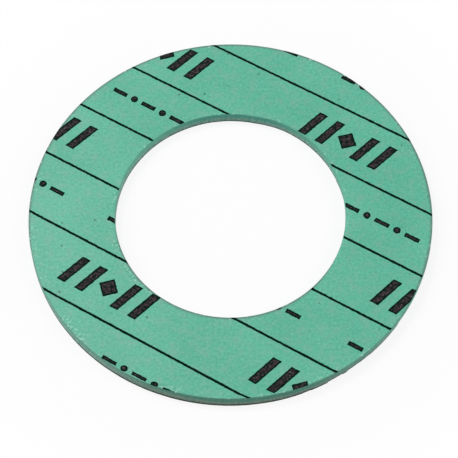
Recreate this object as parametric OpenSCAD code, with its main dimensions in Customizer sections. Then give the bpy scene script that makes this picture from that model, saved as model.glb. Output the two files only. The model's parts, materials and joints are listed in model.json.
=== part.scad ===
// Flat sealing ring, cut by a die from compressed fibre sheet.
// One solid: two flat sealing faces, a plain bore and a plain rim.
// The origin is the centre of the lower face, and +Z runs up the bore's axis.

/* [Ring] */
// Outside diameter
outside_d = 86; // [70:0.5:150]
// Bore diameter
bore_d = 49; // [16:0.5:64]
// Thickness of the sheet
thickness = 3; // [1:0.25:6]

/* [Cut edges] */
// Radius of the upper edges, which the die presses in as it enters
roll_r = 0.15; // [0.05:0.05:0.4]
// Width of the small break on the lower edges, where the die comes out
break_w = 0.05; // [0.02:0.01:0.3]

/* [Hidden] */
outside_r = outside_d / 2;
bore_r = bore_d / 2;
// Height at which the straight cut wall meets the rolled upper edge
wall_top = thickness - roll_r;
// Facets of a full turn of the ring, and of the small circle in each rolled edge
turn_fn = 180;
edge_fn = 32;

// Half section of the sheet between the bore and the rim, with radius along X and height along Y.
module sheet_section() {
    // Sheet between the two cut walls, up to the rolled edges
    polygon([
        [bore_r + break_w, 0],
        [outside_r - break_w, 0],
        [outside_r, break_w],
        [outside_r, wall_top],
        [bore_r, wall_top],
        [bore_r, break_w]
    ]);
    // Sheet under the upper sealing face
    translate([bore_r + roll_r, wall_top])
        square([outside_r - bore_r - 2 * roll_r, roll_r]);
    // Rolled edges at the bore and at the rim
    for (edge_r = [bore_r + roll_r, outside_r - roll_r])
        translate([edge_r, wall_top])
            circle(r = roll_r, $fn = edge_fn);
}

module sealing_ring() {
    color("mediumaquamarine")
        rotate_extrude($fn = turn_fn)
            sheet_section();
}

sealing_ring();
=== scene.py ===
"""Looks of the flat sealing ring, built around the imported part's frame.

The ring is cut by a die from compressed fibre sheet, which was printed before it was cut.
Lengths are in metres, in the part's own frame: the origin is the centre of the lower face, and +Z runs up
the bore. The patterns in the materials, and the relief of the cut walls, are worked out in millimetres.
"""
import json
import math
from typing import NamedTuple

import bmesh
import bpy
import numpy as np
from bpy.props import FloatProperty, FloatVectorProperty, IntProperty, PointerProperty
from mathutils import Matrix, Vector


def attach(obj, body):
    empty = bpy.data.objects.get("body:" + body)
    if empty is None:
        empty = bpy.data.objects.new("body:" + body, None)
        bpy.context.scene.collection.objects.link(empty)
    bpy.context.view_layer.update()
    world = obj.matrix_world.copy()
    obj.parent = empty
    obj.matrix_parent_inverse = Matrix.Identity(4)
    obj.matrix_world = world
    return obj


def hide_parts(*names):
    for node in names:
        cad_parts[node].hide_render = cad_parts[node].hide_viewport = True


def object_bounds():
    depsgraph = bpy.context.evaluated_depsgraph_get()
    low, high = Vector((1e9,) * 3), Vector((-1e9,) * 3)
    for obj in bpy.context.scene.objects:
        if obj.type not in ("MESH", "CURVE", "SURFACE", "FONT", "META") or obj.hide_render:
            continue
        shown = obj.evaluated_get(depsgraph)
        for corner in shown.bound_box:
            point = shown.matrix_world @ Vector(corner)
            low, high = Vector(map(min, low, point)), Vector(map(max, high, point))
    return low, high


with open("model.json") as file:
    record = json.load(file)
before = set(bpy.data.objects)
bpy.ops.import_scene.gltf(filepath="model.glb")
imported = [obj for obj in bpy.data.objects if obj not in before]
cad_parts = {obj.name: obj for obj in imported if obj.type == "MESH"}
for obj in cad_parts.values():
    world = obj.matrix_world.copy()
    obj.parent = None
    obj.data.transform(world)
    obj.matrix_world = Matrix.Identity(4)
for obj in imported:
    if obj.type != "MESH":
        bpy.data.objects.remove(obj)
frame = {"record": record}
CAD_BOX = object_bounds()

bl_info = {
    "name": "Flat Sealing Ring",
    "version": (1, 0, 0),
    "blender": (4, 5, 0),
    "location": "3D View > Sidebar > Sealing Ring",
    "description": "Makes a die-cut flat sealing ring of printed fibre sheet, and a stage for it",
    "category": "Add Mesh",
}

MM = 0.001
MM_PER_METRE = 1000.0
MOUNTS = {mount["name"]: mount for mount in frame["record"]["mounts"]}
RIM_RADIUS = MOUNTS["rim"]["dims"]["r_mm"] * MM
BORE_RADIUS = MOUNTS["bore"]["dims"]["r_mm"] * MM
SHEET_THICKNESS = CAD_BOX[1].z - CAD_BOX[0].z
IMAGE_SIDE_PX = 458
BAKE_MAP = "OFBake"
WHITE = (1.0, 1.0, 1.0, 1.0)


def linear(levels):
    """A screen colour of 0 to 255 as the linear values that a shader takes, by the sRGB curve."""
    shares = (level / 255 for level in levels)
    return tuple(s / 12.92 if s <= 0.04045 else ((s + 0.055) / 1.055) ** 2.4 for s in shares)


def property_maker(kind, convert=None, **settings):
    """A function that makes properties of one kind from a name, a description and a default."""

    def make(name, description, default):
        value = convert(default) if convert else default
        return kind(name=name, description=description, default=value, **settings)

    return make


length_property = property_maker(FloatProperty, precision=6, subtype="DISTANCE", unit="LENGTH")
share_property = property_maker(FloatProperty, min=0.0, max=1.0, subtype="FACTOR")
angle_property = property_maker(FloatProperty, math.radians, subtype="ANGLE", unit="ROTATION")
power_property = property_maker(FloatProperty, min=0.0, unit="POWER")
pixel_property = property_maker(FloatProperty, subtype="PIXEL")
steps_property = property_maker(IntProperty, min=60, subtype="UNSIGNED")
place_property = property_maker(FloatVectorProperty, subtype="TRANSLATION", unit="LENGTH")
colour_property = property_maker(FloatVectorProperty, linear, min=0.0, max=1.0, subtype="COLOR")


class SealingRingSizes(bpy.types.PropertyGroup):
    """Sizes of the ring and of its cut walls. Each side is a direction from the axis."""

    outside_radius: length_property("Outside Radius", "Radius of the rim", RIM_RADIUS)
    bore_radius: length_property("Bore Radius", "Radius of the bore", BORE_RADIUS)
    thickness: length_property("Thickness", "Height of the ring, with the print on it", SHEET_THICKNESS)
    roll: length_property("Rolled Edge", "Radius of the upper edges, which the die presses in", 0.15 * MM)
    edge_break: length_property("Broken Edge", "Width of the small break on the lower edges", 0.05 * MM)
    draft: length_property("Draft", "How far the rim's wall leans in where it leans most", 0.28 * MM)
    draft_side: angle_property("Draft Side", "Direction in which the rim leans most", -100.0)
    widening: length_property("Widening", "How far the bore's wall stands back at its widest", 0.32 * MM)
    wide_side: angle_property("Wide Side", "Direction in which the bore is cut widest", 50.0)
    land: share_property("Smooth Land", "Share of the cut wall that the die leaves smooth", 0.42)
    thin_side: angle_property("Thin Side", "Direction in which the land is thinnest", 200.0)
    thinning: length_property("Thinning", "Loss of height of the land on its thin side", 0.85 * MM)
    land_relief: length_property("Land Relief", "Depth of the marks down the smooth land", 0.012 * MM)
    torn_relief: length_property("Torn Relief", "Depth of the torn fibres under the land", 0.055 * MM)
    lip_relief: length_property("Lip Relief", "Depth of the steps in the broken lower edge", 0.46 * MM)
    # On this side the rim's lower edge breaks out most, and the land of the rim's wall is painted paler as
    # painted light
    worn_and_lit_side: angle_property("Worn Side", "Direction in which the lower edge is worst", -20.0)
    # The bore's wall keeps its land colour on this side; on its flanks the land is painted pale as painted
    # light
    bore_shade_side: angle_property("Bore Shade Side", "Direction in which the bore's wall is darkest", 86.0)
    # Painted shade: the rim's wall is painted darker towards this side, which faces away from the lamps
    rim_shade_side: angle_property("Rim Shade Side", "Direction in which the rim is dirtiest", -88.0)
    chip_relief: length_property("Chip Relief", "Depth of the chips in the upper edge", 0.08 * MM)
    relief_reach: length_property("Relief Reach", "Distance from a wall at which its relief ends", 1.6 * MM)
    turn_steps: steps_property("Turn Steps", "Faces in a full turn of the ring", 900)


class SealingRingPrint(bpy.types.PropertyGroup):
    """Sizes of the print: thin rules across the sheet, with bold and small marks between them by turns."""

    film: length_property("Film", "Height of the ink above the sheet", 0.012 * MM)
    sink: length_property("Sink", "Depth of the ink in the sheet", 0.03 * MM)
    edge_gap: length_property("Edge Gap", "Distance from the print to the cut walls", 0.07 * MM)
    angle: angle_property("Angle", "Turn of the rows from the X axis", -31.0)
    row_pitch: length_property("Row Pitch", "Distance from one row of bold marks to the next", 28.0 * MM)
    row_shift: length_property("Row Shift", "Shift of each row along the one before it", 13.0 * MM)
    rule_width: length_property("Rule Width", "Width of the thin rules", 0.54 * MM)
    bar_width: length_property("Bar Width", "Width of a bold bar", 2.0 * MM)
    bar_height: length_property("Bar Height", "Height of a bold bar", 7.0 * MM)
    bar_slant: share_property("Bar Slant", "Lean of a bold bar, as a share of its height", 0.3)
    bar_pitch: length_property("Bar Pitch", "Distance from one bold mark to the next", 4.3 * MM)
    group_pitch: length_property("Group Pitch", "Distance between groups of bold marks", 46.0 * MM)
    diamond: length_property("Diamond", "Side of the diamond amid the bars", 3.3 * MM)
    dash_length: length_property("Dash Length", "Length of a small dash", 3.4 * MM)
    dash_width: length_property("Dash Width", "Width of a small dash", 1.0 * MM)
    dot_radius: length_property("Dot Radius", "Radius of a small dot", 0.8 * MM)
    dash_pitch: length_property("Dash Pitch", "Distance from a dash to the dot after it", 3.6 * MM)
    dash_group_pitch: length_property("Dash Group Pitch", "Distance between groups of small marks", 29.0 * MM)
    ragged: length_property("Ragged Edge", "Waviness of the print's edges", 0.17 * MM)
    grain: length_property("Grain", "Distance between the points along the print's edges", 0.25 * MM)


class SealingRingColours(bpy.types.PropertyGroup):
    """Colours of the sheet, its cut walls and its print."""

    sheet_light: colour_property("Sheet Light", "Lighter grain of the face", (102, 193, 164))
    sheet_dark: colour_property("Sheet Dark", "Darker grain of the face", (70, 169, 139))
    fibre: colour_property("Fibre", "Pale fibre in the face", (140, 172, 159))
    speck: colour_property("Speck", "Dark specks in the face", (52, 112, 92))
    chip: colour_property("Chip", "Fresh sheet in the chips along the cut edges", (176, 222, 204))
    # Edge is painted shade along the face's cut edges, where they turn down into the walls
    edge: colour_property("Edge", "Sheet along the cut edges, which the die presses dark", (84, 122, 108))
    land: colour_property("Land", "Smooth upper part of a cut wall", (80, 173, 151))
    torn: colour_property("Torn", "Torn fibre in the lower part of a cut wall", (150, 200, 182))
    torn_dark: colour_property("Torn Dark", "Gaps between the torn fibres", (110, 161, 147))
    # Lip is the broken lower edge, darkened with painted shade where the wall meets the floor
    lip: colour_property("Lip", "Broken lower edge of a cut wall", (46, 66, 60))
    # The rim's tint below is painted shade on the rim's wall, on the side that faces away from the lamps
    rim_shade_tint: colour_property("Rim Shade", "Tint of the rim's wall where it is dirtiest", (255, 226, 224))
    ink: colour_property("Ink", "Print where it is dense", (0, 27, 20))
    ink_thin: colour_property("Ink Thin", "Print where it is thin", (77, 62, 69))
    ink_bare: colour_property("Ink Bare", "Fibre that shows through pinholes in the print", (132, 120, 122))


class SealingRingStage(bpy.types.PropertyGroup):
    """Camera and light of the stage."""

    elevation: angle_property("Elevation", "Height of the camera over the floor", 61.80)
    roll: angle_property("Roll", "Turn of the camera about its line of sight", -0.85)
    distance: length_property("Distance", "Distance from the camera to the ring's centre", 0.3909)
    focal_px: pixel_property("Focal Length", "Focal length in pixels of the image", 1826.0)
    centre_x_px: pixel_property("Centre X", "Pixels from the image's left side to the ring's centre", 230.45)
    centre_y_px: pixel_property("Centre Y", "Pixels from the image's top to the ring's centre", 219.5)
    sky: share_property("Sky", "Strength of the light from all round", 0.2)
    side_power: power_property("Side Lamps", "Power of each of the lamps on the left and right", 2.2)
    side_place: place_property("Side Place", "Place of the lamp on the right", (0.55, -0.03, 0.36))
    side_size: length_property("Side Lamp Size", "Side of the square lamps on the left and right", 0.6)
    high_power: power_property("High Lamp", "Power of the lamp above, which gives the face its haze", 1.9)
    high_place: place_property("High Place", "Place of the lamp above", (-0.3, 0.27, 0.68))
    high_size: length_property("High Lamp Size", "Side of the square lamp above", 0.2)
    floor_share: share_property("Floor Share", "Share of plain white in the floor beside the ring", 0.86)
    floor_level: share_property("Floor Level", "Brightness of the floor as it lights the ring", 0.55)


VECTOR_SOCKETS = {"VECTOR", "RGBA"}
NUMBERS_FROM_VECTORS = {"LENGTH", "DOT_PRODUCT"}


class Field:
    """What a node gives out. Sums are written on it as on a plain number or vector."""

    def __init__(self, socket):
        self.socket = socket
        self.tree = socket.id_data

    def __add__(self, other):
        return calc("ADD", self, other)

    def __sub__(self, other):
        return calc("SUBTRACT", self, other)

    def __rsub__(self, other):
        return calc("SUBTRACT", other, self)

    def __mul__(self, other):
        if is_vector(self) and not is_vector(other):
            inputs = {"Vector": self, "Scale": other}
            return result_of(self.tree, "ShaderNodeVectorMath", inputs, {"operation": "SCALE"})
        return calc("MULTIPLY", self, other)

    def __truediv__(self, other):
        return calc("DIVIDE", self, other)


def is_vector(value):
    """True for a vector or a colour, plain or given out by a node."""
    if isinstance(value, Field):
        return value.socket.type in VECTOR_SOCKETS
    return isinstance(value, tuple)


def input_of(node, key):
    """The input with that number, or the first one in use with that name."""
    if isinstance(key, int):
        return node.inputs[key]
    return next(socket for socket in node.inputs if socket.enabled and socket.name == key)


def output_of(node, name=None):
    """The output with that name, or the first one in use."""
    return Field(next(socket for socket in node.outputs if socket.enabled and name in (None, socket.name)))


def link(field, socket):
    field.tree.links.new(field.socket, socket)


def add_node(tree, kind, inputs=None, settings=None):
    """Adds a node, sets its options, and gives each named input a value or a link."""
    node = tree.nodes.new(kind)
    for key, value in (settings or {}).items():
        setattr(node, key, value)
    for key, value in (inputs or {}).items():
        socket = input_of(node, key)
        if isinstance(value, Field):
            link(value, socket)
        else:
            socket.default_value = value
    return node


def result_of(tree, kind, inputs=None, settings=None, name=None):
    """Adds a node, and gives the output with that name, or its first one."""
    return output_of(add_node(tree, kind, inputs, settings), name)


def calc(operation, *values):
    """A sum, by its name in the math nodes, on numbers or on vectors. At least one value is a field."""
    tree = next(value.tree for value in values if isinstance(value, Field))
    kind = "ShaderNodeVectorMath" if any(is_vector(value) for value in values) else "ShaderNodeMath"
    name = "Value" if operation in NUMBERS_FROM_VECTORS else None
    return result_of(tree, kind, dict(enumerate(values)), {"operation": operation}, name)


def half(value):
    return value * 0.5


def xyz(x=0.0, y=0.0, z=0.0):
    """A vector from three numbers, which is a plain one if they are."""
    fields = [value for value in (x, y, z) if isinstance(value, Field)]
    if not fields:
        return (x, y, z)
    return result_of(fields[0].tree, "ShaderNodeCombineXYZ", {"X": x, "Y": y, "Z": z})


def parts_of(vector):
    """The three numbers of a vector."""
    node = add_node(vector.tree, "ShaderNodeSeparateXYZ", {"Vector": vector})
    return tuple(Field(socket) for socket in node.outputs)


def flattened(vector):
    """A vector with no height."""
    return vector * (1.0, 1.0, 0.0)


def aim_at(angle):
    """The level direction at an angle from the X axis."""
    if isinstance(angle, Field):
        return xyz(calc("COSINE", angle), calc("SINE", angle))
    return xyz(math.cos(angle), math.sin(angle))


def fade(value, at_zero, at_one):
    """Runs smoothly from 0, where the value is at_zero, to 1, where it is at_one."""
    inputs = {"Value": value, "From Min": at_zero, "From Max": at_one}
    return result_of(value.tree, "ShaderNodeMapRange", inputs, {"interpolation_type": "SMOOTHSTEP"})


def spread(share, low, high):
    """Stretches a share of 0 to 1 over a range."""
    return result_of(share.tree, "ShaderNodeMapRange", {"Value": share, "To Min": low, "To Max": high})


class Pattern(NamedTuple):
    """Smooth noise: the size of its bumps, its finer detail, and the levels that its patches fade between."""

    size_mm: float
    detail: float = 2.0
    roughness: float = 0.5
    levels: tuple = (0.0, 1.0)


def noise(place_mm, pattern, output="Fac"):
    """The pattern's noise, of 0 to 1."""
    inputs = {
        "Vector": place_mm,
        "Scale": 1 / pattern.size_mm,
        "Detail": pattern.detail,
        "Roughness": pattern.roughness,
    }
    return result_of(place_mm.tree, "ShaderNodeTexNoise", inputs, name=output)


def swing(place_mm, pattern, most):
    """The pattern's noise, stretched to run as far below zero as above it."""
    return spread(noise(place_mm, pattern), -most, most)


def patches(place_mm, pattern):
    """The pattern's patches, which are 1 inside and 0 between them."""
    return fade(noise(place_mm, pattern), *pattern.levels)


def cells(place_mm, cell_mm):
    """Cells of about that width: the distance in millimetres from a cell's point, and its random numbers."""
    inputs = {"Vector": place_mm, "Scale": 1 / cell_mm}
    node = add_node(place_mm.tree, "ShaderNodeTexVoronoi", inputs, {"voronoi_dimensions": "2D"})
    return output_of(node, "Distance") * cell_mm, parts_of(output_of(node, "Color"))


def blend_colours(share, first, second, blend_type="MIX"):
    """The first colour where the share is 0, and the second, or its tint of the first, where it is 1."""
    first, second = (c if isinstance(c, Field) else (*c, 1.0) for c in (first, second))
    settings = {"data_type": "RGBA", "blend_type": blend_type}
    return result_of(share.tree, "ShaderNodeMix", {"Factor": share, "A": first, "B": second}, settings)


# What marks a side of the ring starts, and is complete, at these cosines of the turn away from that side
DRAFT_COSINES = (0.55, 1.05)
WIDE_COSINES = (0.88, 1.0)
EDGE_SHADE_COSINES = (0.1, 0.7)
BORE_SHADE_COSINES = (0.7, 1.0)
THIN_COSINES = (0.3, 0.9)
WORN_COSINES = (0.5, 0.9)
RIM_SHADE_COSINES = (0.55, 1.05)

# Relief of the cut walls: patterns, heights and reaches in millimetres, and shares of a full depth
DRAFT_LEAST = 0.3
WANDER = Pattern(2.0)
WANDER_HEIGHT_MM = 0.22
LAND_MARKS = Pattern(0.25)
TORN = Pattern(0.45, detail=4.0, roughness=0.65, levels=(0.3, 0.7))
TORN_STRETCH = (1.0, 1.0, 0.4)
TORN_START_MM = (-0.1, 0.3)
LIP_STEP_MM = 3.2
LIP_STEP_LEVELS = (0.4, 1.0)
LIP_STEP_LEAST = 0.55
LIP_FADE_MM = (1.8, 0.1)
LIP_LEAST = 0.1
CHIPS = Pattern(0.9, detail=3.0, levels=(0.6, 0.75))
CHIP_REACH_MM = 0.5


def towards(flat_mm, angle, cosines):
    """Runs from 0 to 1 as the direction from the axis nears an angle, by the cosine of the turn between."""
    return fade(calc("DOT_PRODUCT", calc("NORMALIZE", flat_mm), aim_at(angle)), *cosines)


def draft_depth(flat_mm, side, most):
    """How far the rim's upper edge stands in from its lower one, which is most on one side."""
    return spread(towards(flat_mm, side, DRAFT_COSINES), DRAFT_LEAST, 1.0) * most


def wide_depth(flat_mm, side, most):
    """How far the bore's wall stands back from a true circle, which is most on one side."""
    return towards(flat_mm, side, WIDE_COSINES) * most


def land_end(flat_mm, plain_mm, thin_side, thinning_mm):
    """Height in millimetres at which the die's smooth land ends: it wanders, and rises on the thin side."""
    wander = swing(flat_mm, WANDER, WANDER_HEIGHT_MM)
    rise = towards(flat_mm, thin_side, THIN_COSINES) * thinning_mm
    return wander + rise + plain_mm


def torn_fibre(place_mm):
    """Fibres that stand out of the torn part of a cut wall, and run up and down."""
    return noise(place_mm * TORN_STRETCH, TORN)


SOCKET_KINDS = {float: "NodeSocketFloat", int: "NodeSocketInt", bpy.types.Material: "NodeSocketMaterial"}


def new_geometry_tree(name, values):
    """A geometry tree with an input for each named value: the tree, its inputs and its result."""
    tree = bpy.data.node_groups.new(name, "GeometryNodeTree")
    tree.interface.new_socket("Geometry", in_out="INPUT", socket_type="NodeSocketGeometry")
    for label, value in values.items():
        tree.interface.new_socket(label, in_out="INPUT", socket_type=SOCKET_KINDS[type(value)])
    tree.interface.new_socket("Geometry", in_out="OUTPUT", socket_type="NodeSocketGeometry")
    start = tree.nodes.new("NodeGroupInput")
    end = tree.nodes.new("NodeGroupOutput")
    value = {socket.name: Field(socket) for socket in start.outputs if socket.name}
    return tree, value, end.inputs["Geometry"]


def labelled(group, keys):
    """The values of a group's properties, by the labels that they have in Blender."""
    return {group.bl_rna.properties[key].name: getattr(group, key) for key in keys}


def realized(geometry):
    """The geometry with its copies made real."""
    return result_of(geometry.tree, "GeometryNodeRealizeInstances", {"Geometry": geometry})


def finished(geometry, material, result):
    """Ends a tree: makes its copies real, and gives the geometry its material."""
    inputs = {"Geometry": realized(geometry), "Material": material}
    link(result_of(geometry.tree, "GeometryNodeSetMaterial", inputs), result)


def position(tree):
    return result_of(tree, "GeometryNodeInputPosition")


def shifted(geometry, offset):
    """The geometry with each point moved by its own offset."""
    return result_of(geometry.tree, "GeometryNodeSetPosition", {"Geometry": geometry, "Offset": offset})


MERGE_DISTANCE = 0.0005 * MM


def point_faces_outwards(mesh):
    """Merges doubled points and turns every face outwards."""
    shape = bmesh.new()
    shape.from_mesh(mesh)
    bmesh.ops.remove_doubles(shape, verts=shape.verts, dist=MERGE_DISTANCE)
    bmesh.ops.recalc_face_normals(shape, faces=shape.faces)
    shape.to_mesh(mesh)
    shape.free()


def new_object(name, data):
    made = bpy.data.objects.new(name, data)
    bpy.context.scene.collection.objects.link(made)
    return made


def make_piece(name, start, make_tree, values):
    """Runs a geometry tree with these values on the starting mesh, and gives a piece with a plain mesh."""
    tree = make_tree(values)
    piece = new_object(name, start)
    modifier = piece.modifiers.new(tree.name, "NODES")
    modifier.node_group = tree
    for item in tree.interface.items_tree:
        if item.in_out == "INPUT" and item.name in values:
            modifier[item.identifier] = values[item.name]
    depsgraph = bpy.context.evaluated_depsgraph_get()
    mesh = bpy.data.meshes.new_from_object(
        piece.evaluated_get(depsgraph), preserve_all_data_layers=True, depsgraph=depsgraph
    )
    piece.modifiers.clear()
    piece.data = mesh
    bpy.data.meshes.remove(start)
    mesh.name = name
    if not mesh.polygons:
        raise RuntimeError(f"{name} came out with no faces")
    point_faces_outwards(mesh)
    return piece


# Steps of the section along each stretch of it
WALL_STEPS = 24
ROLL_STEPS = 5
FACE_STEPS = 6
EDGE_STEPS = 4


def straight(corners, steps_between, cut):
    """Points along straight stretches of the section, without its end: radius, height and share of wall."""
    for start, end, steps in zip(corners, corners[1:], steps_between):
        for step in range(steps):
            share = step / steps
            yield start[0] + share * (end[0] - start[0]), start[1] + share * (end[1] - start[1]), cut


def rolled(centre, radius, first_turn, cut_start, cut_end):
    """Points along a quarter turn of a rolled edge, without its end."""
    for step in range(ROLL_STEPS):
        share = step / ROLL_STEPS
        turn = first_turn + share * math.pi / 2
        yield (
            centre[0] + radius * math.cos(turn),
            centre[1] + radius * math.sin(turn),
            cut_start + share * (cut_end - cut_start),
        )


def section_outline(ring, face_height):
    """The ring's half section, as one closed round of points from the bore's lower edge."""
    bore, outside = ring.bore_radius, ring.outside_radius
    roll, corner, reach = ring.roll, ring.edge_break, ring.relief_reach
    wall_top = face_height - roll
    below = [(radius, 0) for radius in (bore + corner, bore + reach, outside - reach, outside - corner)]
    above = [(r, face_height) for r in (outside - roll, outside - 2 * roll, bore + 2 * roll, bore + roll)]
    yield from straight(below, (EDGE_STEPS, FACE_STEPS, EDGE_STEPS), 0)
    yield from straight([below[-1], (outside, corner), (outside, wall_top)], (1, WALL_STEPS), 1)
    yield from rolled((outside - roll, wall_top), roll, 0, 1, 0)
    yield from straight(above, (1, FACE_STEPS, 1), 0)
    yield from rolled((bore + roll, wall_top), roll, math.pi / 2, 0, 1)
    yield from straight([(bore, wall_top), (bore, corner), below[0]], (WALL_STEPS, 1), 1)


def section_mesh(ring, face_height):
    """The half section as a closed loop of edges, with its share of cut wall as the attribute cut."""
    points = list(section_outline(ring, face_height))
    mesh = bpy.data.meshes.new("section")
    edges = [(k, (k + 1) % len(points)) for k in range(len(points))]
    mesh.from_pydata([(radius, 0, height) for radius, height, _ in points], edges, [])
    cut = mesh.attributes.new("cut", "FLOAT", "POINT")
    cut.data.foreach_set("value", [share for _, _, share in points])
    return mesh


def captured(geometry, kind, field):
    """Keeps a field on the geometry's points, and gives the geometry and the kept field."""
    inputs = {"Geometry": geometry}
    node = add_node(geometry.tree, "GeometryNodeCaptureAttribute", inputs, {"domain": "POINT"})
    node.capture_items.new(kind, "Kept")
    link(field, node.inputs["Kept"])
    return output_of(node, "Geometry"), output_of(node, "Kept")


def cut_wall_relief(value, place_mm, radius):
    """Depth of the relief that the die leaves in the cut walls, at a point of the plain ring."""
    flat_mm = flattened(place_mm)
    height_mm = parts_of(place_mm)[2]
    face_mm = value["Face Height"] * MM_PER_METRE
    plain_mm = (1.0 - value["Smooth Land"]) * face_mm
    land_end_mm = land_end(flat_mm, plain_mm, value["Thin Side"], value["Thinning"] * MM_PER_METRE)
    torn = torn_fibre(place_mm) * fade(land_end_mm - height_mm, *TORN_START_MM)
    # The sheet breaks out under the die in steps, each a few millimetres long
    _, (step, _, _) = cells(flat_mm, LIP_STEP_MM)
    lip = (
        spread(fade(step, *LIP_STEP_LEVELS), LIP_STEP_LEAST, 1.0)
        * fade(height_mm, *LIP_FADE_MM)
        * spread(towards(flat_mm, value["Worn Side"], WORN_COSINES), LIP_LEAST, 1.0)
    )
    chip = patches(place_mm, CHIPS) * fade(face_mm - height_mm, CHIP_REACH_MM, 0.0)
    from_rim = value["Outside Radius"] - radius
    from_bore = radius - value["Bore Radius"]
    on_rim = calc("GREATER_THAN", from_bore, from_rim)
    draft = draft_depth(flat_mm, value["Draft Side"], value["Draft"]) * (height_mm / face_mm)
    wide = wide_depth(flat_mm, value["Wide Side"], value["Widening"])
    depth = spread(on_rim, wide, draft)
    depth += noise(flat_mm, LAND_MARKS) * value["Land Relief"]
    depth += torn * value["Torn Relief"]
    depth += lip * value["Lip Relief"]
    depth += chip * value["Chip Relief"]
    return depth * fade(calc("MINIMUM", from_rim, from_bore), value["Relief Reach"], 0.0)


def ring_tree(values):
    """Sweeps the section round the bore's axis, and presses the cut walls' relief into it."""
    tree, value, result = new_geometry_tree("Cut Ring", values)
    section = result_of(tree, "GeometryNodeMeshToCurve", {"Mesh": value["Geometry"]})
    section, place = captured(section, "VECTOR", position(tree))
    circle = result_of(tree, "GeometryNodeCurvePrimitiveCircle", {"Resolution": value["Turn Steps"]})
    path, turn = captured(circle, "FLOAT", result_of(tree, "GeometryNodeSplineParameter", name="Factor"))
    swept = result_of(tree, "GeometryNodeCurveToMesh", {"Curve": path, "Profile Curve": section})
    radius, _, height = parts_of(place)
    outward = aim_at(turn * math.tau)
    lift = xyz(z=height)
    depth = cut_wall_relief(value, (outward * radius + lift) * MM_PER_METRE, radius)
    # Relief goes into the sheet: towards the axis at the rim, and away from it at the bore
    middle = half(value["Outside Radius"] + value["Bore Radius"])
    cut_radius = radius + depth * calc("SIGN", middle - radius)
    inputs = {"Geometry": swept, "Position": outward * cut_radius + lift}
    finished(result_of(tree, "GeometryNodeSetPosition", inputs), value["Material"], result)
    return tree


# The bake map: its rows, the gap between its strips, and the least upright part of a flat face's normal
BAKE_ROWS = 4
BAKE_GAP = 0.8 * MM
FLAT_NORMAL = 0.7


def counts_of(items, name):
    """A whole number of each item, by its name in Blender."""
    values = np.empty(len(items), np.int64)
    items.foreach_get(name, values)
    return values


def vectors_of(items, name):
    """A vector of each item, by its name in Blender."""
    values = np.empty(len(items) * 3)
    items.foreach_get(name, values)
    return values.reshape(-1, 3)


def corner_values(mesh):
    """For each corner of each face: its place, the face's middle and the face's normal."""
    place = vectors_of(mesh.vertices, "co")[counts_of(mesh.loops, "vertex_index")]
    corners = counts_of(mesh.polygons, "loop_total")
    middle, normal = (vectors_of(mesh.polygons, name) for name in ("center", "normal"))
    return place, np.repeat(middle, corners, axis=0), np.repeat(normal, corners, axis=0)


def add_bake_map(mesh, across, along):
    """Gives the mesh a map with these two shares of 0 to 1 at each corner."""
    bake_map = mesh.uv_layers.new(name=BAKE_MAP)
    bake_map.uv.foreach_set("vector", np.stack([across, along], axis=1).ravel())


def lay_out_ring_map(mesh, ring):
    """Unrolls the ring into rows of strips that don't overlap: its faces side by side, then its walls."""
    place, centre, normal = corner_values(mesh)
    radius = np.hypot(place[:, 0], place[:, 1])
    centre_turn = np.arctan2(centre[:, 1], centre[:, 0]) / math.tau % 1
    turn = np.arctan2(place[:, 1], place[:, 0]) / math.tau
    # A corner lies less than half a turn from the middle of its face
    turn = centre_turn + (turn - centre_turn + 0.5) % 1 - 0.5
    row = np.floor(centre_turn * BAKE_ROWS)
    along_row = turn * BAKE_ROWS - row
    mean_radius = (ring.bore_radius + ring.outside_radius) / 2
    on_face = np.abs(normal[:, 2]) > FLAT_NORMAL
    on_rim = np.hypot(centre[:, 0], centre[:, 1]) > mean_radius
    first = np.where(on_face, normal[:, 2] > 0, on_rim)
    row_turn = math.tau / BAKE_ROWS
    face_arc = mean_radius * row_turn
    rim_arc = ring.outside_radius * row_turn
    bore_arc = ring.bore_radius * row_turn
    arc = np.where(on_face, face_arc, np.where(first, rim_arc, bore_arc))
    start = np.where(first, BAKE_GAP, 2 * BAKE_GAP + np.where(on_face, face_arc, rim_arc))
    face_row = ring.outside_radius - ring.bore_radius + BAKE_GAP
    wall_row = ring.thickness + BAKE_GAP
    on_face_row = radius - ring.bore_radius + row * face_row
    on_wall_row = place[:, 2] + BAKE_ROWS * face_row + row * wall_row
    up = BAKE_GAP + np.where(on_face, on_face_row, on_wall_row)
    width = 3 * BAKE_GAP + 2 * face_arc
    height = BAKE_GAP + BAKE_ROWS * (face_row + wall_row)
    add_bake_map(mesh, (start + along_row * arc) / width, up / height)


# Share of the bake map that the print spans
MAP_ROOM = 0.96


def lay_out_print_map(mesh, ring):
    """Lays the print's upper faces out as seen from above, and its other faces in the bore's place."""
    place, _, normal = corner_values(mesh)
    bore_share = ring.bore_radius / ring.outside_radius
    size = np.where(normal[:, 2] > FLAT_NORMAL, 1.0, bore_share * MAP_ROOM)
    half_map = ring.outside_radius / MAP_ROOM
    across, along = (0.5 + place[:, axis] * size / half_map / 2 for axis in (0, 1))
    add_bake_map(mesh, across, along)


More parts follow.
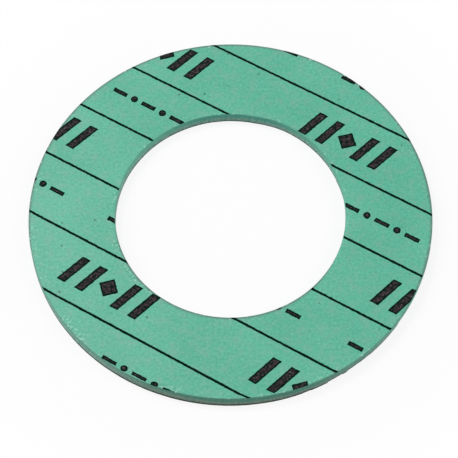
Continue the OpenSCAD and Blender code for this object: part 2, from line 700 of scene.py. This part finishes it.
# The sheet's face: patterns and reaches in millimetres, and shares of a full colour
CLOUDS = Pattern(15.0, detail=3.0)
CLOUD_DEPTH = 0.2
GRAIN = Pattern(0.6, detail=4.0, roughness=0.6, levels=(0.2, 0.8))
FIBRE = Pattern(2.2, detail=5.0, roughness=0.65, levels=(0.42, 0.75))
FIBRE_SHARE = 0.4
KNOCKS = Pattern(6.0, detail=1.0, levels=(0.45, 0.6))
KNOCK_SHARES = (0.3, 0.7)
KNOCK_REACH_MM = (2.4, 0.4)
FLECKS = Pattern(0.55, detail=3.0, roughness=0.6)
PALE_FLECK_LEVELS = (0.48, 0.36)
DARK_FLECK_LEVELS = (0.52, 0.66)
SPECK_CELL_MM = 6.0
SPECK_CHANCE = 0.25
SPECK_RADII_MM = (0.12, 0.38)
SPECK_EDGE = (1.0, 0.4)
SPECK_SHARE = 0.9
# Reaches of the painted shade along the face's cut edges
EDGE_REACH_MM = 0.78
EDGE_LEAST_MM = (0.15, 0.3)
EDGE_FULL_MM = 0.05
CHIP_FACE_MM = (0.9, 0.3)

# The cut walls: patterns and heights in millimetres, and shares of a full colour
LAND_STREAKS = Pattern(0.35, levels=(0.4, 0.8))
STREAK_SHARE = 0.5
# Share of painted light on the land of the rim's worn side
WORN_LIGHT_SHARE = 0.45
# Share of painted light on the land of the bore's flanks
FLANK_LIGHT_SHARE = 0.8
LAND_EDGE_MM = (-0.2, 0.3)
SCALLOPS = Pattern(0.7, detail=3.0)
SCALLOP_HEIGHT_MM = 0.3
# Heights of the dark band at the foot of the bore's wall and of the rim's: broken edge and painted shade
LIP_HEIGHTS_MM = (0.38, 0.68)
LIP_EDGE_MM = 0.2
CUT_LEVELS = (0.25, 0.75)

# The ink, and the pores in every surface
INK_RIM_MM = (0.22, 0.5)
INK_MOTTLE = Pattern(0.6, detail=4.0, roughness=0.7, levels=(0.43, 0.6))
MOTTLE_SHARES = (0.05, 0.85)
PINHOLES = Pattern(0.4, detail=3.0, roughness=0.6, levels=(0.58, 0.76))
INK_SPECULAR = 0.03
PORES = Pattern(0.33, detail=4.0, roughness=0.65)
PORE_STRENGTH = 0.5
PORE_DEPTH = 0.02 * MM
FACE_ROUGHNESS = (0.34, 0.48)
WALL_ROUGHNESS = (0.75, 0.95)
INK_ROUGHNESS = (0.55, 0.8)


def object_place(tree):
    return result_of(tree, "ShaderNodeTexCoord", name="Object")


def attribute(tree, name):
    return result_of(tree, "ShaderNodeAttribute", None, {"attribute_name": name}, "Fac")


def new_material(name):
    """A material with a shader node of its own, linked to its output."""
    material = bpy.data.materials.new(name)
    material.use_nodes = True
    return material, material.node_tree, material.node_tree.nodes["Principled BSDF"]


def specks(flat):
    """Dark specks in the face, far apart and of mixed sizes."""
    distance, (chance, size, _) = cells(flat, SPECK_CELL_MM)
    inside = fade(distance / spread(size, *SPECK_RADII_MM), *SPECK_EDGE)
    return inside * calc("LESS_THAN", chance, SPECK_CHANCE)


def face_colour(colours, ring, place, flat, from_cut, on_rim):
    """The sheet's face: cloudy grain with pale fibre in it, a few specks, knocks along the cut edges, and
    painted shade along those edges.
    """
    cloud = swing(flat, CLOUDS, CLOUD_DEPTH)
    grain = fade(noise(place, GRAIN) + cloud, *GRAIN.levels)
    colour = blend_colours(grain, colours.sheet_dark, colours.sheet_light)
    colour = blend_colours(patches(flat, FIBRE) * FIBRE_SHARE, colour, colours.fibre)
    # Knocks along the edges leave dark and pale flecks, most of them on the thin side
    knocked = (
        patches(flat, KNOCKS)
        * spread(towards(flat, ring.thin_side, THIN_COSINES), *KNOCK_SHARES)
        * fade(from_cut, *KNOCK_REACH_MM)
    )
    fleck = noise(flat, FLECKS)
    colour = blend_colours(knocked * fade(fleck, *PALE_FLECK_LEVELS), colour, colours.chip)
    dark = calc("MAXIMUM", specks(flat), knocked * fade(fleck, *DARK_FLECK_LEVELS))
    colour = blend_colours(dark * SPECK_SHARE, colour, colours.speck)
    # Painted shade along the cut edges: it reaches less far in on the rim's leaning side, and on the bore's
    # side across from it
    apart = calc("ABSOLUTE", on_rim - towards(flat, ring.draft_side, EDGE_SHADE_COSINES))
    reach = calc("MAXIMUM", apart * EDGE_REACH_MM, spread(on_rim, *EDGE_LEAST_MM))
    colour = blend_colours(fade(from_cut, reach, EDGE_FULL_MM), colour, colours.edge)
    return blend_colours(patches(place, CHIPS) * fade(from_cut, *CHIP_FACE_MM), colour, colours.chip)


def wall_colour(colours, ring, place, flat, on_rim):
    """A cut wall: smooth land above, torn fibre below it, and a dark band at its foot, wider on the rim,
    which is the broken edge darkened with painted shade where the wall meets the floor. Painted light makes
    the land paler on the bore's flanks and on the rim's worn side, and painted shade darkens the rim's wall
    on the side away from the lamps.
    """
    height = parts_of(place)[2]
    plain_mm = (1 - ring.land) * ring.thickness / MM
    below_land = land_end(flat, plain_mm, ring.thin_side, ring.thinning / MM) - height
    torn = blend_colours(fade(torn_fibre(place), *TORN.levels), colours.torn_dark, colours.torn)
    # Painted light: the land is as pale as the face on the bore's flanks, where the side lamps light them
    dark = calc("MAXIMUM", on_rim, towards(flat, ring.bore_shade_side, BORE_SHADE_COSINES))
    land = blend_colours(spread(dark, FLANK_LIGHT_SHARE, 0.0), colours.land, colours.sheet_light)
    streak = patches(flat, LAND_STREAKS) * STREAK_SHARE
    # Painted light: on the rim's worn side the land is blended towards the torn fibre's paler colour
    worn_side_light = on_rim * towards(flat, ring.worn_and_lit_side, WORN_COSINES) * WORN_LIGHT_SHARE
    land = blend_colours(calc("MAXIMUM", streak, worn_side_light), land, torn)
    colour = blend_colours(fade(below_land, *LAND_EDGE_MM), land, torn)
    # The dark band at the foot is the broken edge, darkened with painted shade where the wall meets the floor
    scallop = swing(flat, SCALLOPS, SCALLOP_HEIGHT_MM)
    above_lip = height - (spread(on_rim, *LIP_HEIGHTS_MM) - scallop)
    colour = blend_colours(fade(above_lip, LIP_EDGE_MM, -LIP_EDGE_MM), colour, colours.lip)
    # Painted shade: the rim's wall is darkened in its green and blue on the side that faces away from the
    # lamps
    rim_shade_mask = on_rim * towards(flat, ring.rim_shade_side, RIM_SHADE_COSINES)
    return blend_colours(rim_shade_mask, colour, colours.rim_shade_tint, "MULTIPLY")


def add_pores(shader, place, smooth, rough):
    """Fine pores in a matte surface, which change its roughness and its relief."""
    pores = noise(place, PORES)
    link(spread(pores, smooth, rough), shader.inputs["Roughness"])
    inputs = {"Strength": PORE_STRENGTH, "Distance": PORE_DEPTH, "Height": pores}
    link(result_of(place.tree, "ShaderNodeBump", inputs), shader.inputs["Normal"])


def sheet_material(colours, ring):
    """Compressed fibre sheet: a matte, finely grained face, and cut walls that show the fibre."""
    material, tree, shader = new_material("fibre_sheet")
    place = object_place(tree) * MM_PER_METRE
    flat = flattened(place)
    radius = calc("LENGTH", flat)
    from_rim = ring.outside_radius / MM - draft_depth(flat, ring.draft_side, ring.draft / MM) - radius
    from_bore = radius - wide_depth(flat, ring.wide_side, ring.widening / MM) - ring.bore_radius / MM
    from_cut = calc("MINIMUM", from_rim, from_bore)
    on_rim = calc("GREATER_THAN", from_bore, from_rim)
    face = face_colour(colours, ring, place, flat, from_cut, on_rim)
    wall = wall_colour(colours, ring, place, flat, on_rim)
    cut = fade(attribute(tree, "cut"), *CUT_LEVELS)
    link(blend_colours(cut, face, wall), shader.inputs["Base Color"])
    smooth, rough = (spread(cut, *ends) for ends in zip(FACE_ROUGHNESS, WALL_ROUGHNESS))
    add_pores(shader, place, smooth, rough)
    return material


def ink_material(colours):
    """Printing ink: pressed out to a dense rim, and thin and mottled inside a bold mark."""
    material, tree, shader = new_material("printing_ink")
    place = object_place(tree) * MM_PER_METRE
    inside = fade(attribute(tree, "from_edge") * MM_PER_METRE, *INK_RIM_MM)
    thin = spread(patches(place, INK_MOTTLE), *MOTTLE_SHARES) * inside
    colour = blend_colours(thin, colours.ink, colours.ink_thin)
    colour = blend_colours(patches(place, PINHOLES) * inside, colour, colours.ink_bare)
    link(colour, shader.inputs["Base Color"])
    add_pores(shader, place, *INK_ROUGHNESS)
    shader.inputs["Specular IOR Level"].default_value = INK_SPECULAR
    return material


# The print's marks and rows, and the cylinders that cut it
DOT_SIDES = 32
DOT_RINGS = 3
BOLD_MARKS = 5
SMALL_MARKS = 5
PRINT_ROWS = 7
GROUPS_IN_ROW = 7
SAME_WITHIN = 0.1
RULE_OVERHANG = 1.1
CLIP_SIDES = 360
CLIP_DEPTH = 10 * MM
RAGGED = Pattern(0.6, detail=3.0, roughness=0.6)
NOISE_MIDDLE = (0.5, 0.5, 0.5)


def with_edge_distance(geometry, distance):
    """The geometry, with each point's distance from the mark's edge kept as the attribute from_edge."""
    inputs = {"Geometry": geometry, "Name": "from_edge", "Value": distance}
    settings = {"data_type": "FLOAT", "domain": "POINT"}
    return result_of(geometry.tree, "GeometryNodeStoreNamedAttribute", inputs, settings)


def block(width, length, depth, grain):
    """A flat block of ink, with points at about the grain along its sides."""
    inputs = {"Size": xyz(width, length, depth)}
    edges = []
    for axis, side, place in zip("XY", (width, length), parts_of(position(grain.tree))):
        inputs["Vertices " + axis] = calc("CEIL", side / grain) + 1.0
        edges.append(half(side) - calc("ABSOLUTE", place))
    shape = result_of(grain.tree, "GeometryNodeMeshCube", inputs, name="Mesh")
    return with_edge_distance(shape, calc("MINIMUM", *edges))


def disc(radius, depth):
    """A flat round of ink."""
    inputs = {"Vertices": DOT_SIDES, "Fill Segments": DOT_RINGS, "Radius": radius, "Depth": depth}
    shape = result_of(radius.tree, "GeometryNodeMeshCylinder", inputs, {"fill_type": "TRIANGLE_FAN"}, "Mesh")
    return with_edge_distance(shape, radius - calc("LENGTH", flattened(position(radius.tree))))


def moved_copy(geometry, translation=(0.0, 0.0, 0.0), turn=0.0):
    """The geometry, turned about Z and then moved."""
    inputs = {"Geometry": geometry, "Translation": translation, "Rotation": xyz(z=turn)}
    return result_of(geometry.tree, "GeometryNodeTransform", inputs)


def leaned(geometry, slant):
    """The geometry with each point shifted along X by a share of its Y."""
    _, y, _ = parts_of(position(geometry.tree))
    return shifted(geometry, xyz(y * slant))


def repeated(geometry, count, step, picked=None):
    """Copies in a row centred on the origin: of the geometry, or of the instance in it that is picked."""
    row = {"Count": count, "Start Location": step * (-(count - 1) / 2), "Offset": step}
    inputs = {"Points": result_of(step.tree, "GeometryNodeMeshLine", row), "Instance": geometry}
    if picked is not None:
        inputs |= {"Pick Instance": True, "Instance Index": picked}
    return result_of(geometry.tree, "GeometryNodeInstanceOnPoints", inputs)


def joined(geometries):
    """Geometries joined in their order."""
    join = geometries[0].tree.nodes.new("GeometryNodeJoinGeometry")
    # The last link made to a joining input comes first in what it joins
    for geometry in reversed(geometries):
        link(geometry, join.inputs["Geometry"])
    return output_of(join)


def marks_in_turn(marks, count, step, picked):
    """A row of marks, where picked gives the number of the mark at each point."""
    singles = [result_of(mark.tree, "GeometryNodeGeometryToInstance", {"Geometry": mark}) for mark in marks]
    return repeated(joined(singles), count, step, picked)


def clipped(geometry, operation, radius):
    """The geometry inside an upright cylinder about the bore's axis, or outside it."""
    inputs = {"Vertices": CLIP_SIDES, "Radius": radius, "Depth": CLIP_DEPTH}
    cylinder = result_of(geometry.tree, "GeometryNodeMeshCylinder", inputs, name="Mesh")
    settings = {"operation": operation, "solver": "MANIFOLD"}
    clip = add_node(geometry.tree, "GeometryNodeMeshBoolean", None, settings)
    link(geometry, clip.inputs["Mesh 1" if operation == "DIFFERENCE" else "Mesh 2"])
    link(cylinder, clip.inputs["Mesh 2"])
    return output_of(clip, "Mesh")


def roughened(geometry, ragged):
    """The print with its edges made a little uneven, as ink spreads in fibre."""
    place_mm = flattened(position(geometry.tree) * MM_PER_METRE)
    # The noise stays within a half of its middle, so it is doubled
    wobble = flattened(noise(place_mm, RAGGED, "Color") - NOISE_MIDDLE)
    return shifted(geometry, wobble * (ragged * 2.0))


def drawn_in(geometry, value):
    """The print, moved with the sheet's face where the rim leans in and where the bore is cut wide."""
    flat = flattened(position(geometry.tree))
    flat_mm = flat * MM_PER_METRE
    radius = calc("LENGTH", flat)
    near_rim = fade(value["Outside Radius"] - radius, value["Relief Reach"], 0.0)
    near_bore = fade(radius - value["Bore Radius"], value["Relief Reach"], 0.0)
    inward = draft_depth(flat_mm, value["Draft Side"], value["Draft"]) * near_rim
    outward = wide_depth(flat_mm, value["Wide Side"], value["Widening"]) * near_bore
    return shifted(geometry, calc("NORMALIZE", flat) * (outward - inward))


def print_tree(values):
    """Lays the print's rows over the sheet, turns them, and cuts them as the ring is cut."""
    tree, value, result = new_geometry_tree("Sheet Print", values)
    depth = value["Film"] + value["Sink"]
    grain = value["Grain"]
    index = result_of(tree, "GeometryNodeInputIndex")

    bar = leaned(block(value["Bar Width"], value["Bar Height"], depth, grain), value["Bar Slant"])
    diamond = moved_copy(block(value["Diamond"], value["Diamond"], depth, grain), turn=math.pi / 4)
    in_middle = calc("COMPARE", index, (BOLD_MARKS - 1) / 2, SAME_WITHIN)
    bold = marks_in_turn((bar, diamond), BOLD_MARKS, xyz(value["Bar Pitch"]), in_middle)
    bold_row = repeated(bold, GROUPS_IN_ROW, xyz(value["Group Pitch"]))

    dash = block(value["Dash Length"], value["Dash Width"], depth, grain)
    small_marks = (dash, disc(value["Dot Radius"], depth))
    by_turns = calc("MODULO", index, len(small_marks))
    small = marks_in_turn(small_marks, SMALL_MARKS, xyz(value["Dash Pitch"]), by_turns)
    small_row = repeated(small, GROUPS_IN_ROW, xyz(value["Dash Group Pitch"]))

    rule = block(value["Outside Radius"] * (2 * RULE_OVERHANG), value["Rule Width"], depth, grain)
    row_step = xyz(value["Row Shift"], value["Row Pitch"])
    band_step = xyz(y=half(value["Row Pitch"]))
    rows = (
        repeated(bold_row, PRINT_ROWS, row_step),
        moved_copy(repeated(small_row, PRINT_ROWS, row_step), band_step),
        repeated(rule, 2 * PRINT_ROWS, band_step),
    )
    middle = value["Face Height"] + half(value["Film"] - value["Sink"])
    turned = moved_copy(joined(rows), xyz(z=middle), value["Angle"])
    ragged = roughened(realized(turned), value["Ragged Edge"])
    inside = clipped(ragged, "INTERSECT", value["Outside Radius"] - value["Edge Gap"])
    on_ring = clipped(inside, "DIFFERENCE", value["Bore Radius"] + value["Edge Gap"])
    finished(drawn_in(on_ring, value), value["Material"], result)
    return tree


SHARP_ANGLE = math.radians(40)
SHARED_SIZES = (
    "outside_radius", "bore_radius", "draft", "draft_side", "widening", "wide_side", "relief_reach",
)
WALL_SIZES = (
    "land", "thin_side", "thinning", "land_relief", "torn_relief", "lip_relief", "worn_and_lit_side", "chip_relief",
    "turn_steps",
)


class SEALING_RING_OT_make_ring(bpy.types.Operator):
    """Makes the ring: a swept section with the relief that the die leaves in its cut walls"""

    bl_idname = "sealing_ring.make_ring"
    bl_label = "Make Ring"

    def execute(self, context):
        ring = context.scene.sealing_ring_sizes
        face_height = ring.thickness - context.scene.sealing_ring_print.film
        values = labelled(ring, SHARED_SIZES + WALL_SIZES)
        values["Face Height"] = face_height
        values["Material"] = sheet_material(context.scene.sealing_ring_colours, ring)
        piece = make_piece("fibre_ring", section_mesh(ring, face_height), ring_tree, values)
        lay_out_ring_map(piece.data, ring)
        piece.data.shade_smooth()
        piece.data.set_sharp_from_angle(angle=SHARP_ANGLE)
        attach(piece, "root")
        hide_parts("sealing_ring")
        return {"FINISHED"}


class SEALING_RING_OT_make_print(bpy.types.Operator):
    """Makes the print on the upper face: a thin film of ink, cut where the ring is cut"""

    bl_idname = "sealing_ring.make_print"
    bl_label = "Make Print"

    def execute(self, context):
        ring = context.scene.sealing_ring_sizes
        sheet_print = context.scene.sealing_ring_print
        values = labelled(ring, SHARED_SIZES) | labelled(sheet_print, SealingRingPrint.__annotations__)
        values["Face Height"] = ring.thickness - sheet_print.film
        values["Material"] = ink_material(context.scene.sealing_ring_colours)
        piece = make_piece("sheet_print", bpy.data.meshes.new("print"), print_tree, values)
        lay_out_print_map(piece.data, ring)
        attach(piece, "root")
        return {"FINISHED"}


FLOOR_RADIUS = 3.0
FLOOR_SIDES = 96
SENSOR_MM = 36.0
CLIP_START = 0.01
# Distances from the axis between which the floor turns plain white
SHADOW_START = 0.046
SHADOW_END = 0.08


def seen_share(tree):
    """1 for what the camera sees, straight or by a reflection, and 0 for what only lights the ring."""
    path = tree.nodes.new("ShaderNodeLightPath")
    seen = calc("MAXIMUM", output_of(path, "Is Camera Ray"), output_of(path, "Is Glossy Ray"))
    return calc("MAXIMUM", seen, output_of(path, "Is Transmission Ray"))


def floor_material(stage):
    """Pale floor that the camera sees as white, but for the ring's soft shadow."""
    material, tree, shader = new_material("pale_floor")
    seen = seen_share(tree)
    link(spread(seen, stage.floor_level, 1.0), shader.inputs["Base Color"])
    shader.inputs["Roughness"].default_value = 1.0
    shader.inputs["Specular IOR Level"].default_value = 0.0
    white = result_of(tree, "ShaderNodeEmission", {"Color": WHITE, "Strength": 1.0})
    away = fade(calc("LENGTH", object_place(tree)), SHADOW_START, SHADOW_END)
    share = spread(away, stage.floor_share, 1.0) * seen
    both = result_of(tree, "ShaderNodeMixShader", {0: share, 1: output_of(shader), 2: white})
    link(both, tree.nodes["Material Output"].inputs["Surface"])
    return material


def make_floor(stage):
    mesh = bpy.data.meshes.new("floor")
    shape = bmesh.new()
    bmesh.ops.create_circle(shape, cap_ends=True, segments=FLOOR_SIDES, radius=FLOOR_RADIUS)
    shape.to_mesh(mesh)
    shape.free()
    mesh.materials.append(floor_material(stage))
    new_object("floor", mesh)


def make_sky(stage):
    """Even light from all round, which the camera sees as white."""
    world = bpy.data.worlds.new("studio")
    bpy.context.scene.world = world
    world.use_nodes = True
    background = world.node_tree.nodes["Background"]
    background.inputs["Color"].default_value = WHITE
    link(spread(seen_share(world.node_tree), stage.sky, 1.0), background.inputs["Strength"])


def make_lamp(name, place, side, power):
    """A square soft lamp that faces the ring."""
    light = bpy.data.lights.new(name, "AREA")
    light.shape = "SQUARE"
    light.size = side
    light.energy = power
    lamp = new_object(name, light)
    lamp.location = place
    lamp.rotation_euler = Vector(place).to_track_quat("Z", "Y").to_euler()


def make_camera(stage):
    """The camera looks along +Y and down at the ring's centre."""
    camera = new_object("camera", bpy.data.cameras.new("camera"))
    camera.data.sensor_width = SENSOR_MM
    camera.data.lens = stage.focal_px / IMAGE_SIDE_PX * SENSOR_MM
    camera.data.shift_x = (IMAGE_SIDE_PX / 2 - stage.centre_x_px) / IMAGE_SIDE_PX
    camera.data.shift_y = (stage.centre_y_px - IMAGE_SIDE_PX / 2) / IMAGE_SIDE_PX
    camera.data.clip_start = CLIP_START
    back = Vector((0, -math.cos(stage.elevation), math.sin(stage.elevation)))
    tilt = Matrix.Rotation(math.pi / 2 - stage.elevation, 4, "X")
    roll = Matrix.Rotation(stage.roll, 4, "Z")
    camera.matrix_world = Matrix.Translation(back * stage.distance) @ tilt @ roll
    bpy.context.scene.camera = camera


class SEALING_RING_OT_make_stage(bpy.types.Operator):
    """Makes the stage: a pale floor, soft light and the camera"""

    bl_idname = "sealing_ring.make_stage"
    bl_label = "Make Stage"

    def execute(self, context):
        stage = context.scene.sealing_ring_stage
        context.scene.view_settings.view_transform = "Standard"
        make_floor(stage)
        make_sky(stage)
        x, y, z = stage.side_place
        make_lamp("left_lamp", (-x, y, z), stage.side_size, stage.side_power)
        make_lamp("right_lamp", (x, y, z), stage.side_size, stage.side_power)
        make_lamp("high_lamp", stage.high_place, stage.high_size, stage.high_power)
        make_camera(stage)
        return {"FINISHED"}


class SEALING_RING_PT_panel(bpy.types.Panel):
    """Lists the ring's pieces and its stage"""

    bl_idname = "SEALING_RING_PT_panel"
    bl_label = "Sealing Ring"
    bl_space_type = "VIEW_3D"
    bl_region_type = "UI"
    bl_category = "Sealing Ring"

    def draw(self, context):
        for operator in OPERATORS:
            self.layout.operator(operator.bl_idname)


GROUPS = {
    "sealing_ring_sizes": SealingRingSizes,
    "sealing_ring_print": SealingRingPrint,
    "sealing_ring_colours": SealingRingColours,
    "sealing_ring_stage": SealingRingStage,
}
OPERATORS = (SEALING_RING_OT_make_stage, SEALING_RING_OT_make_ring, SEALING_RING_OT_make_print)
CLASSES = (*GROUPS.values(), *OPERATORS, SEALING_RING_PT_panel)


def register():
    for cls in CLASSES:
        bpy.utils.register_class(cls)
    for name, group in GROUPS.items():
        setattr(bpy.types.Scene, name, PointerProperty(type=group))


def unregister():
    for name in GROUPS:
        delattr(bpy.types.Scene, name)
    for cls in reversed(CLASSES):
        bpy.utils.unregister_class(cls)


def main():
    register()
    bpy.ops.sealing_ring.make_stage()
    bpy.ops.sealing_ring.make_ring()
    bpy.ops.sealing_ring.make_print()


if __name__ == "__main__":
    main()
